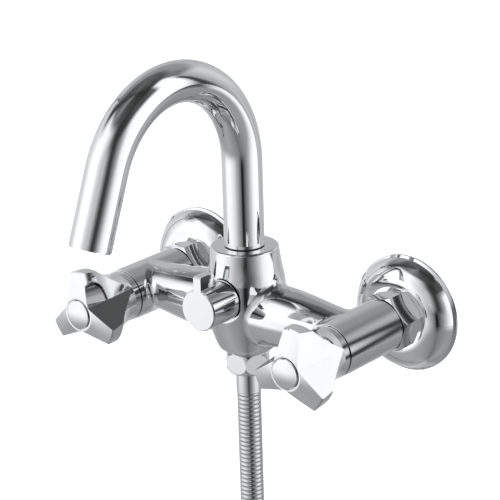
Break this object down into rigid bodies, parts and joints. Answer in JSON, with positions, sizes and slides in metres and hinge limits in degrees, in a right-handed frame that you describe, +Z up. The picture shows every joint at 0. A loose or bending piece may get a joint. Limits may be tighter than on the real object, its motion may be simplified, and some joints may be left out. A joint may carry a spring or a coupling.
{
  "type": "wall mounted bath faucet",
  "caption": "Wall mounted bath faucet: cross tube with two star handles, high curved swivel spout, central diverter, ribbed hose and hand shower on a bracket.",
  "frame": {"origin": "on the finished wall face, midway between the two inlets, at the height of the handles' axes", "axes": "+X to the user's right, +Z up, -Y towards the user, +Y into the wall"},
  "size_m": [0.4289, 0.2147, 0.8942],
  "materials": {
    "body_chrome": "mirror-polished plating on cast brass",
    "spout_chrome": "mirror-polished plating on drawn brass tube",
    "trim_chrome": "mirror-polished plating",
    "nut_chrome": "polished plating with fine turning marks",
    "rosette_chrome": "mirror-polished plating on pressed sheet",
    "handle_chrome": "mirror-polished plating on die-cast zinc",
    "cap_chrome": "mirror-polished plating",
    "handset_chrome": "bright plating on moulded plastic",
    "hose_steel": "ribbed stainless strip, double lock",
    "bracket_grey": "satin metallic coating",
    "spray_face_grey": "matt moulded",
    "disc_grey": "satin moulded, plain",
    "nozzle_rubber": "soft moulded nozzles",
    "steel": "turned",
    "brass": "machined",
    "ceramic": "lapped alumina ceramic",
    "rubber_black": "moulded",
    "dark_plastic": "low-friction plastic",
    "white_plastic": "moulded"
  },
  "bodies": {
    "mixer": {"bracket_screws": "steel", "diverter_cage": "brass", "diverter_cage_o_ring": "rubber_black", "hose_nut": "nut_chrome", "hose_washer": "rubber_black", "left_coupling_nut": "nut_chrome", "left_fixed_disc": "ceramic", "left_headwork_o_ring": "rubber_black", "left_inlet_tail": "nut_chrome", "left_inlet_union": "nut_chrome", "left_inlet_washer": "rubber_black", "left_rosette": "rosette_chrome", "left_seat_seal": "rubber_black", "left_valve_headwork": "brass", "mixer_body": "body_chrome", "outlet_nipple": "trim_chrome", "right_coupling_nut": "nut_chrome", "right_fixed_disc": "ceramic", "right_headwork_o_ring": "rubber_black", "right_inlet_tail": "nut_chrome", "right_inlet_union": "nut_chrome", "right_inlet_washer": "rubber_black", "right_rosette": "rosette_chrome", "right_seat_seal": "rubber_black", "right_valve_headwork": "brass", "shower_hose": "hose_steel", "spout_keeper_screw": "steel", "spout_slip_ring": "dark_plastic", "upper_hose_ferrule": "nut_chrome", "wall_bracket": "bracket_grey", "wall_plugs": "white_plastic"},
    "left_valve": {"left_handle": "handle_chrome", "left_handle_screw": "steel", "left_index_cap": "cap_chrome", "left_valve_spindle": "brass", "left_moving_disc": "ceramic", "left_spindle_o_ring": "rubber_black"},
    "right_valve": {"right_handle": "handle_chrome", "right_handle_screw": "steel", "right_index_cap": "cap_chrome", "right_valve_spindle": "brass", "right_moving_disc": "ceramic", "right_spindle_o_ring": "rubber_black"},
    "diverter": {"diverter_knob": "trim_chrome", "diverter_rotor": "brass", "diverter_spindle_o_ring": "rubber_black", "diverter_grub_screw": "steel"},
    "spout": {"spout_tube": "spout_chrome", "spout_spigot": "brass", "spout_o_rings": "rubber_black", "aerator_housing": "trim_chrome", "aerator_screen": "white_plastic", "aerator_washer": "rubber_black"},
    "handset": {"handset_shell": "handset_chrome", "spray_face": "spray_face_grey", "spray_nozzles": "nozzle_rubber", "face_centre_disc": "disc_grey", "handset_washer": "rubber_black", "handset_cone_nut": "nut_chrome", "lower_hose_ferrule": "nut_chrome"}
  },
  "joints": [
    {"name": "left_handle_turn", "type": "hinge", "parent": "mixer", "child": "left_valve", "pos_m": [-0.075, -0.09, 0], "axis": [0, -1, 0], "range_deg": [0, 180]},
    {"name": "right_handle_turn", "type": "hinge", "parent": "mixer", "child": "right_valve", "pos_m": [0.075, -0.09, 0], "axis": [0, 1, 0], "range_deg": [0, 180]},
    {"name": "spout_swivel", "type": "hinge", "parent": "mixer", "child": "spout", "pos_m": [0, -0.0513, 0.0401], "axis": [0, 0, 1], "range_deg": [-100, 100]},
    {"name": "diverter_turn", "type": "hinge", "parent": "mixer", "child": "diverter", "pos_m": [0, -0.08, 0.0131], "axis": [0, 1, 0], "range_deg": [0, 90]},
    {"name": "handset_lift", "type": "slide", "parent": "mixer", "child": "handset", "axis": [0, -0.2079, 0.9781], "range_m": [0, 0.06]}
  ]
}
